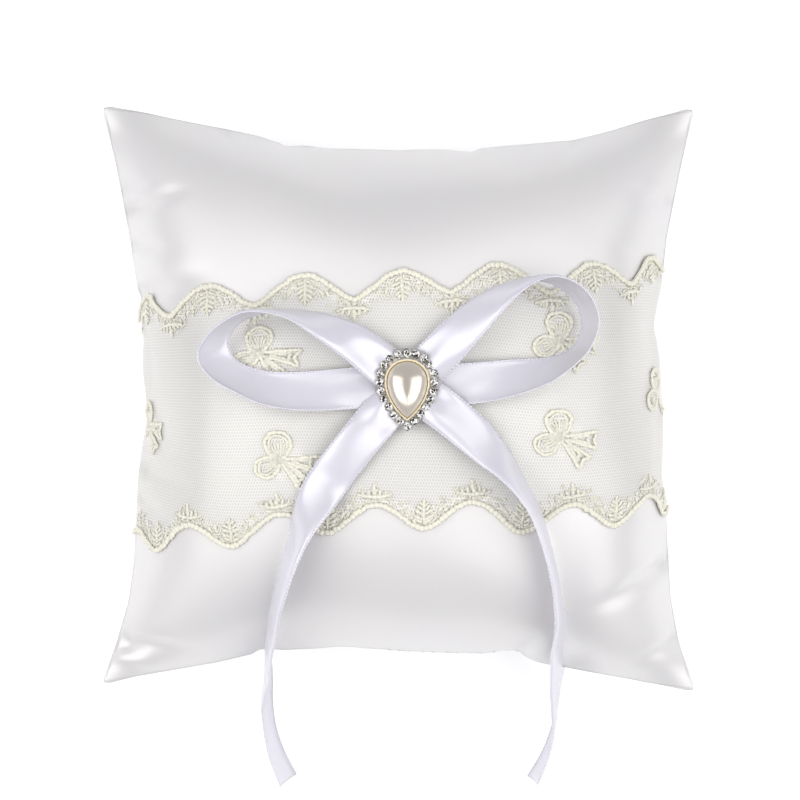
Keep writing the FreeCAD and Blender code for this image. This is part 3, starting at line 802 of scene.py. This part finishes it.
def weave_strand(name, stations, fall=(), first_layer=0):
    """One strand of ribbon and the looped thread along its two edges."""
    middle, over, face, run = ribbon_frame(stations, list(fall), first_layer)
    width = ACROSS[None, :, None] * RIBBON_WIDTH / 2
    from_brooch = run if fall else np.minimum(run, run[-1] - run)
    fold_depth = GATHER * np.exp(-((from_brooch / GATHER_REACH) ** 2)) * eased(from_brooch / PINNED_REACH)
    gather = fold_depth[:, None] * np.cos(GATHER_TURN * ACROSS + first_layer)
    bulge = CUPPING * (1 - ACROSS**2) - LIP * ACROSS**8 + gather
    points = middle[:, None] + over[:, None] * width + face[:, None] * bulge[..., None]
    index = np.arange(points.shape[0] * points.shape[1]).reshape(points.shape[:2])
    pattern = np.stack(np.meshgrid(run, ACROSS * RIBBON_WIDTH / 2, indexing="ij"), -1).reshape(-1, 2)
    strand = add_piece("ribbon_" + name, points.reshape(-1, 3), grid_faces(index), "ribbon", pattern)
    thickness = strand.modifiers.new("ribbon thickness", "SOLIDIFY")
    thickness.thickness = RIBBON_THICKNESS * MM
    thickness.offset = 0
    edges = []
    for side in (0, -1):
        line, where = resample(np.concatenate([points[:, side], face], 1), EDGE_LOOP / 4)
        radius = EDGE_THREAD / 2 * (EDGE_FULL + EDGE_SWELL * np.sin(2 * np.pi * where / EDGE_LOOP))
        edges.append(tube(line[:, :3], unit(line[:, 3:]), radius, sides=5))
    edge = add_piece("ribbon_edge_" + name, *joined(edges), "ribbon")
    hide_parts("bow_" + name)
    print(name, "length, mm:", round(float(run[-1]), 1))
    return strand, edge


strands_of_ribbon = [
    weave_strand("left_loop", LEFT_LOOP, first_layer=2),
    weave_strand("right_loop", RIGHT_LOOP, first_layer=1),
    weave_strand("left_tail", LEFT_TAIL, LEFT_FALL, first_layer=1),
    weave_strand("right_tail", RIGHT_TAIL, RIGHT_FALL, first_layer=2),
]

# %% [markdown]
# ## Hand stitches
# The gap that the filling went in by is closed with slanting stitches over the bottom seam. Each one is a
# short bow of thread that leaves the front panel, goes round the seam and enters the back panel.

# %% Close the seam
STITCHES = 12
GAP_FROM, GAP_TO = -4.0, 40.0
STITCH_REACH = 1.1
STITCH_SLANT, STITCH_STANDOFF, STITCH_DIP = 0.25, 0.22, 0.12
SEWING_THREAD = 0.4

seam = front[:, 0]
bend = np.linspace(-1, 1, 9)[:, None]
strands = []
for x in np.linspace(GAP_FROM, GAP_TO, STITCHES):
    n = int(np.abs(seam[:, 0] - x).argmin())
    over_front, over_back = front[n, 1] - seam[n], back[n + 1, 1] - seam[n]
    sweep = np.where(bend < 0, -bend * over_front, bend * over_back) * STITCH_REACH
    outward = np.array([STITCH_SLANT, -1.0, 0]) * (STITCH_STANDOFF - STITCH_DIP * bend**2)
    facing = np.tile([0.0, -1.0, 0.0], (len(bend), 1))
    strands.append(tube(seam[n] + sweep + outward, facing, np.full(len(bend), SEWING_THREAD / 2)))
stitches = add_piece("hand_stitches", *joined(strands), "thread")
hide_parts("closing_stitches")

# %% [markdown]
# ## The brooch
# The plate, the claw cups and the gold rim are hard parts with a settled shape, so the CAD ones stay and
# only get finishes. Two parts are worth making again: the stones, which need a cut with a flat table and
# two rows of facets to sparkle, and the half pearl, which has to be perfectly smooth. Both follow one
# teardrop outline, point down.

# %% The teardrop outline
STONES = 22
STONE_RADIUS = 1.47
PITCH_WIDTH, PITCH_HEIGHT = 17.8, 23.6
POINTEDNESS, WIDEST = 0.7, 0.822                # of the outline, and the largest value of its formula

rim_low, rim_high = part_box("pearl_rim")
brooch_middle = np.array([(rim_low.x + rim_high.x) / 2, (rim_low.y + rim_high.y) / 2]) / MM
plate_top = rim_low.z / MM


def teardrop(width, height, t):
    """Places round a teardrop. t runs once round from the point at the bottom."""
    x = width / 2 / WIDEST * np.sin(t) * np.abs(np.sin(t / 2)) ** POINTEDNESS
    return np.stack([x, -height / 2 * np.cos(t)], -1) + brooch_middle


print("brooch middle, mm:", brooch_middle.round(2), " plate top:", round(plate_top, 2))

# %% Cut the stones
FACETS = 8
TABLE_RISE = 0.5                # height of a stone's table above its girdle
STONE_RINGS = (                 # share of the radius, height, and how many facets it is turned
    (0.3, -0.62, 0), (1.0, 0.0, 0), (0.8, 0.3, 0.5), (0.56, TABLE_RISE, 0),
)


def cut_stone(x, y, girdle, turn):
    """A round cut: a point below, the girdle, the crown's middle row, the table's rim and its middle. The
    table is split like a star, because through it the eye sees the facets of the far side."""
    points = []
    for scale, z, shifted in STONE_RINGS:
        angle = turn + 2 * np.pi * (np.arange(FACETS) + shifted) / FACETS
        ring = np.stack([np.cos(angle), np.sin(angle)], -1) * scale * STONE_RADIUS
        points.append(np.concatenate([ring + (x, y), np.full((FACETS, 1), girdle + z)], 1))
    points.append(np.array([[x, y, girdle + TABLE_RISE]]))
    faces = [list(range(FACETS - 1, -1, -1))]
    for k in range(FACETS):
        n = (k + 1) % FACETS
        a, b, c, d = 0, FACETS, 2 * FACETS, 3 * FACETS
        faces += [[a + k, a + n, b + n, b + k], [b + k, b + n, c + k], [c + k, b + n, c + n],
                  [c + k, c + n, d + n], [d + k, c + k, d + n], [d + k, d + n, 4 * FACETS]]
    return np.concatenate(points), faces


t_fine = np.linspace(0, 2 * np.pi, 2001)
ring_line = teardrop(PITCH_WIDTH, PITCH_HEIGHT, t_fine)
ring_run = np.concatenate([[0], np.cumsum(np.linalg.norm(np.diff(ring_line, axis=0), axis=1))])
stone_t = np.interp(np.arange(STONES) * ring_run[-1] / STONES, ring_run, t_fine)
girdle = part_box("brooch_rhinestones")[1].z / MM - TABLE_RISE
cut = [cut_stone(x, y, girdle, turn) for (x, y), turn in
       zip(teardrop(PITCH_WIDTH, PITCH_HEIGHT, stone_t), rng.uniform(0, np.pi / 4, STONES))]
stones = add_piece("cut_stones", *joined(cut), "rhinestone")
stones.data.shade_flat()
# each facet gets a random painted reflection, from near black to white
painted_glint_layer = stones.data.attributes.new("painted_facet_glint", "FLOAT", "FACE")
painted_glint_layer.data.foreach_set("value", rng.uniform(0, 1, len(stones.data.polygons)))
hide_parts("brooch_rhinestones")

# %% Shape the half pearl
PEARL_WIDTH, PEARL_HEIGHT = 13.6, 19.1
ROUND, LEVELS = 96, 26          # points round the pearl, and rows of them from its rim to its top
TOP_ROW = 88                    # degrees up the dome where the last row lies
pearl_low, pearl_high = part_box("pearl_cabochon")
rise = pearl_high.z / MM - pearl_low.z / MM

t_round = np.linspace(0, 2 * np.pi, ROUND + 1)[:-1]
rings = []
for tilt in np.radians(np.linspace(0, TOP_ROW, LEVELS)):
    ring = teardrop(PEARL_WIDTH * math.cos(tilt), PEARL_HEIGHT * math.cos(tilt), t_round)
    rings.append(np.concatenate([ring, np.full((ROUND, 1), pearl_low.z / MM + rise * math.sin(tilt))], 1))
pearl_faces = [face[::-1] for face in ring_faces(LEVELS, ROUND)]
pearl = add_piece("half_pearl", np.concatenate(rings), pearl_faces, "pearl")
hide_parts("pearl_cabochon")

# %% [markdown]
# ## Finishes
# Every finish starts from what the real surface is. One function turns the usual sRGB hex colours to the
# linear values that shaders need, and one adds a node with its settings and links. Most surfaces have two
# tones and a little relief, which a third function adds.

# %% Colour and node helpers
def linear(hex_colour):
    """An sRGB hex colour as linear red, green, blue and full alpha."""
    parts = [int(hex_colour[i:i + 2], 16) / 255 for i in (1, 3, 5)]
    return (*[c / 12.92 if c <= 0.04045 else ((c + 0.055) / 1.055) ** 2.4 for c in parts], 1.0)


def add_node(tree, kind, inputs=None, **settings):
    """Adds a node. settings are its own properties; inputs are values, or sockets to link from."""
    node = tree.nodes.new(kind)
    for name, value in settings.items():
        setattr(node, name, value)
    for name, value in (inputs or {}).items():
        if isinstance(value, bpy.types.NodeSocket):
            tree.links.new(value, node.inputs[name])
        else:
            node.inputs[name].default_value = value
    return node


def new_finish(name, **values):
    """A material and its shader with constant values. Underscores in a value's name stand for spaces."""
    finish = bpy.data.materials.new(name)
    finish.use_nodes = True
    shader = finish.node_tree.nodes["Principled BSDF"]
    for key, value in values.items():
        shader.inputs[key.replace("_", " ")].default_value = value
    return finish, finish.node_tree, shader


def tint_and_relief(tree, shader, factor, low, high, height, strength, distance=0.0002):
    """Blends two hex colours by one pattern, and lets another stand out of the surface."""
    shade = add_node(tree, "ShaderNodeMix", {"Factor": factor, 6: linear(low), 7: linear(high)},
                     data_type="RGBA")
    relief = add_node(tree, "ShaderNodeBump", {"Height": height, "Strength": strength, "Distance": distance})
    tree.links.new(shade.outputs[2], shader.inputs["Base Color"])
    tree.links.new(relief.outputs["Normal"], shader.inputs["Normal"])


def dress(finish, *pieces):
    """Gives a finish to pieces of this script or to CAD nodes."""
    for piece in pieces:
        if len(piece.data.materials) == 0:
            piece.data.materials.append(finish)
        for slot in piece.material_slots:
            slot.material = finish
    print(finish.name, "on", [piece.name for piece in pieces])


# %% [markdown]
# ### Polyester satin
# The cover is white polyester satin. Long floats of bright yarn lie side by side, so it has a broad, soft
# shine and hardly any visible weave. The floats' diagonal steps are about 0.3 mm apart on real cloth and
# are drawn 0.8 mm apart here, as finer ones would not show. Slow changes of colour stand for the cool and
# warm whites that the cloth takes on where it is pulled tight or gathered.

# %% Polyester satin
SATIN_STEP = 0.8
CLOUD_SIZE = 45.0
WAVE = 0.31                     # scale of a wave texture whose bands lie 1 apart

satin, tree, shader = new_finish("polyester_satin", Roughness=0.41, IOR=1.5, Specular_IOR_Level=1.0,
                                 Metallic=0.14, Sheen_Weight=0.15, Sheen_Roughness=0.4, Anisotropic=0.4)
on_cloth = add_node(tree, "ShaderNodeAttribute", attribute_name="pattern").outputs["Vector"]
clouds = add_node(tree, "ShaderNodeTexNoise", {"Vector": on_cloth, "Scale": 1 / CLOUD_SIZE, "Detail": 2.0})
diagonal = add_node(tree, "ShaderNodeTexWave", {"Vector": on_cloth, "Scale": WAVE / SATIN_STEP,
                    "Distortion": 0.6, "Detail": 1.0, "Detail Scale": 0.5}, bands_direction="DIAGONAL")
slubs = add_node(tree, "ShaderNodeTexNoise", {"Vector": on_cloth, "Scale": 0.9, "Detail": 3.0})
height = add_node(tree, "ShaderNodeMath", {0: diagonal.outputs["Fac"], 1: slubs.outputs["Fac"]},
                  operation="ADD")
tint_and_relief(tree, shader, clouds.outputs["Fac"], "#E1E0DC", "#DAD9DA", height.outputs[0], 0.035)
dress(satin, satin_front, satin_back)

# %% [markdown]
# ### Satin ribbon
# The ribbon is woven narrow and finished whiter and cooler than the cover. Fine ribs cross it from edge to
# edge, about 0.25 mm apart and drawn 0.5 mm apart, and its shine is brighter where it bends.

# %% Satin ribbon
RIB = 0.5
TINT_SIZE = 14.0

ribbon, tree, shader = new_finish("satin_ribbon", Roughness=0.26, IOR=1.5, Specular_IOR_Level=1.0,
                                  Metallic=0.1)
on_cloth = add_node(tree, "ShaderNodeAttribute", attribute_name="pattern").outputs["Vector"]
ribs = add_node(tree, "ShaderNodeTexWave", {"Vector": on_cloth, "Scale": WAVE / RIB, "Distortion": 0.4},
                bands_direction="X")
tints = add_node(tree, "ShaderNodeTexNoise", {"Vector": on_cloth, "Scale": 1 / TINT_SIZE, "Detail": 2.0})
tint_and_relief(tree, shader, tints.outputs["Fac"], "#DFDEE5", "#D8D7E0", ribs.outputs["Fac"], 0.12)
dress(ribbon, *[piece for strand in strands_of_ribbon for piece in strand])

# %% [markdown]
# ### Threads and net
# The embroidery is bright rayon thread in ivory, wound side by side, so it has a warm colour and a broken
# shine. The net under it is nylon, thinner and less yellow. The hand stitches are plain white polyester.

# %% Rayon, nylon and sewing thread
def grained(name, light, dark, scale, detail, strength, distance, **values):
    """A finish whose light grains stand out of dark ones. scale counts the grains in a metre."""
    finish, tree, shader = new_finish(name, **values)
    place = add_node(tree, "ShaderNodeTexCoord").outputs["Object"]
    grain = add_node(tree, "ShaderNodeTexNoise", {"Vector": place, "Scale": scale, "Detail": detail})
    tint_and_relief(tree, shader, grain.outputs["Fac"], dark, light, grain.outputs["Fac"], strength, distance)
    return finish


def thread_finish(name, light, dark, twist, roughness, **values):
    """A thread with the light and dark of its strands, twist millimetres apart."""
    return grained(name, light, dark, 1 / (twist * MM), 2.0, 0.2, 0.0002, Roughness=roughness, IOR=1.5,
                   **values)


dress(thread_finish("rayon_embroidery", "#ECEBDD", "#E1DFCE", 0.5, 0.5, Subsurface_Weight=0.4,
                    Subsurface_Radius=(1, 1, 1), Subsurface_Scale=0.0006), *cords, fans, bows)
dress(thread_finish("nylon_net", "#F6F5EF", "#ECEBE4", 1.5, 0.4), lace_net)
dress(thread_finish("sewing_thread", "#F7F6F8", "#EAE9EE", 0.4, 0.5), stitches,
      frame["nodes"]["bow_tack_stitches"])
dress(thread_finish("polyester_fibre", "#F4F4F4", "#E2E2E4", 3.0, 0.8, Sheen_Weight=0.4), fibre_core)

# %% [markdown]
# ### Metals
# The plate and the cups are stamped and silver plated: bright, a little uneven and darker in the corners.
# The rim is plated a pale gold. Metals keep the default IOR, and their colour does the work.

# %% Silver and pale gold plate
WEAR = 900.0, 3.0, 0.5, 0.0003  # scale, detail, strength and depth of the dull hollows that polishing misses

dress(grained("plated_silver", "#FFFFFF", "#8F8B7E", *WEAR, Metallic=1.0, Roughness=0.3),
      frame["nodes"]["brooch_plate"], frame["nodes"]["brooch_stone_cups"])
dress(grained("pale_gold_plate", "#FFF6DC", "#F0DDAE", *WEAR, Metallic=1.0, Roughness=0.45),
      frame["nodes"]["pearl_rim"])

# %% [markdown]
# ### Foil-backed glass
# Cheap rhinestones are glass with a silver foil behind them. Light that enters comes back from one facet or
# its neighbour, never evenly, so at any moment some facets are white and some nearly black. Tracing that
# through glass this small would only give noise, so each facet has a painted reflection instead: a random
# tone from near black to white in its colour, under a clear, sharp gloss.

# %% Foil-backed glass
glass, tree, shader = new_finish("foil_backed_glass", Roughness=0.1, IOR=1.52, Metallic=0.25, Coat_Weight=1.0,
                                 Coat_Roughness=0.03)
facet = add_node(tree, "ShaderNodeAttribute", attribute_name="painted_facet_glint")
# painted reflections: the facet's random value picks its colour, from near black to white
painted_glint_ramp = add_node(tree, "ShaderNodeValToRGB", {"Fac": facet.outputs["Fac"]})
painted_glint_ramp.color_ramp.interpolation = "CONSTANT"
painted_glint_ramp.color_ramp.elements[0].color = linear("#3A362A")
for position, colour in ((0.34, "#8F8B7C"), (0.5, "#D9D6CB"), (0.62, "#FFFFFF")):
    painted_glint_ramp.color_ramp.elements.new(position).color = linear(colour)
tree.links.new(painted_glint_ramp.outputs["Color"], shader.inputs["Base Color"])
dress(glass, stones)

# %% [markdown]
# ### Pearl lacquer
# The half pearl is moulded ABS dipped in pearl essence. Its shine comes from below a clear skin: a soft
# cream base, a wide satin highlight and a sharper one on top. Its colour also carries a painted sheen: darker
# where the surface faces the eye, paler where it turns away.

# %% Pearl lacquer
pearl_finish, tree, shader = new_finish("pearl_lacquer", Roughness=0.22, IOR=1.5, Metallic=0.4,
                                        Coat_Weight=1.0, Coat_Roughness=0.15, Coat_IOR=1.8)
# painted sheen: the cream colour pales where the surface turns away from the eye
painted_edge_sheen = add_node(tree, "ShaderNodeLayerWeight", {"Blend": 0.35})
mottle = add_node(tree, "ShaderNodeTexNoise", {"Scale": 700.0, "Detail": 2.0})
tint_and_relief(tree, shader, painted_edge_sheen.outputs["Facing"], "#CEC6B8", "#F1EBDD", mottle.outputs["Fac"],
                0.02, distance=0.0001)
dress(pearl_finish, pearl)

# %% [markdown]
# ### Glue
# A drop of clear glue joins the brooch to the ribbon. It is hidden, and slightly cloudy as such glue dries.

# %% Clear glue
glue, tree, shader = new_finish("clear_glue", Roughness=0.25, IOR=1.49, Transmission_Weight=0.6)
cloud = add_node(tree, "ShaderNodeTexNoise", {"Scale": 600.0})
shade = add_node(tree, "ShaderNodeMix", {"Factor": cloud.outputs["Fac"], 6: linear("#EDEBE2"),
                 7: linear("#FFFFFF")}, data_type="RGBA")
tree.links.new(shade.outputs[2], shader.inputs["Base Color"])
dress(glue, frame["nodes"]["brooch_glue_pad"])

# %% [markdown]
# ## Floor, light and camera
# White satin shows its shape only by small changes of tone, so the light is soft and comes from two long
# panels, one on each side, of much the same strength. They leave a darker gap straight above, which
# the satin's crown and the pearl reflect. The floor is a pale sheet, and the sky grows darker towards the
# top for the same reason.

# %% Floor
bpy.ops.mesh.primitive_circle_add(vertices=96, radius=3.0, fill_type="NGON", location=(0, 0, -0.0002))
floor = bpy.context.object
floor.name = "pale_floor"
paper = new_finish("pale_paper", Roughness=0.9, Base_Color=linear("#FBFBFB"), Emission_Strength=0.22,
                   Emission_Color=linear("#FFFFFF"))[0]
floor.data.materials.append(paper)

# %% Sky and lamps
SKY_LOW, SKY_HIGH = "#D8D8E4", "#7E7D90"
SKY_STRENGTH = 0.57
SKY_FADE = 1.4                  # the pale walls reach well above the horizon
LAMP_WHITE = (1.0, 0.99, 0.965)                 # a little warm; the shadows keep the cool of the sky
LAMP_TARGET = Vector((0, 0, 0.05))

world = bpy.data.worlds.new("studio")
bpy.context.scene.world = world
world.use_nodes = True
tree = world.node_tree
direction = add_node(tree, "ShaderNodeTexCoord")
parts = add_node(tree, "ShaderNodeSeparateXYZ", {"Vector": direction.outputs["Generated"]})
high = add_node(tree, "ShaderNodeMath", {0: parts.outputs["Z"], 1: SKY_FADE}, operation="POWER")
fade = add_node(tree, "ShaderNodeMix", {"Factor": high.outputs[0], 6: linear(SKY_LOW), 7: linear(SKY_HIGH)},
                data_type="RGBA")
tree.links.new(fade.outputs[2], tree.nodes["Background"].inputs["Color"])
tree.nodes["Background"].inputs["Strength"].default_value = SKY_STRENGTH

for name, place, size, power in (("left_panel", (-0.54, -0.05, 0.72), (0.78, 1.0), 6.2),
                                 ("right_panel", (0.53, -0.07, 0.72), (0.84, 1.0), 6.3)):
    light = bpy.data.lights.new(name, "AREA")
    light.shape = "RECTANGLE"
    light.size, light.size_y = size
    light.energy = power
    light.color = LAMP_WHITE
    lamp = in_scene(name, light)
    lamp.location = place
    aim = LAMP_TARGET - lamp.location
    lamp.rotation_euler = (0, math.atan2(-aim.x, -aim.z), 0)
    print(name, "power:", power)

# %% Camera
CAMERA_X, CAMERA_Y, CAMERA_HEIGHT = 0.0005, -0.0008, 1.0
FRAME_WIDTH = 272.0             # millimetres across the picture, at the height of the seam

camera = in_scene("camera", bpy.data.cameras.new("camera"))
camera.location = (CAMERA_X, CAMERA_Y, CAMERA_HEIGHT)
camera.data.lens = camera.data.sensor_width * (CAMERA_HEIGHT / MM - SEAM_Z) / FRAME_WIDTH
bpy.context.scene.camera = camera
bpy.context.scene.view_settings.view_transform = "Standard"
print("lens, mm:", round(camera.data.lens, 1))
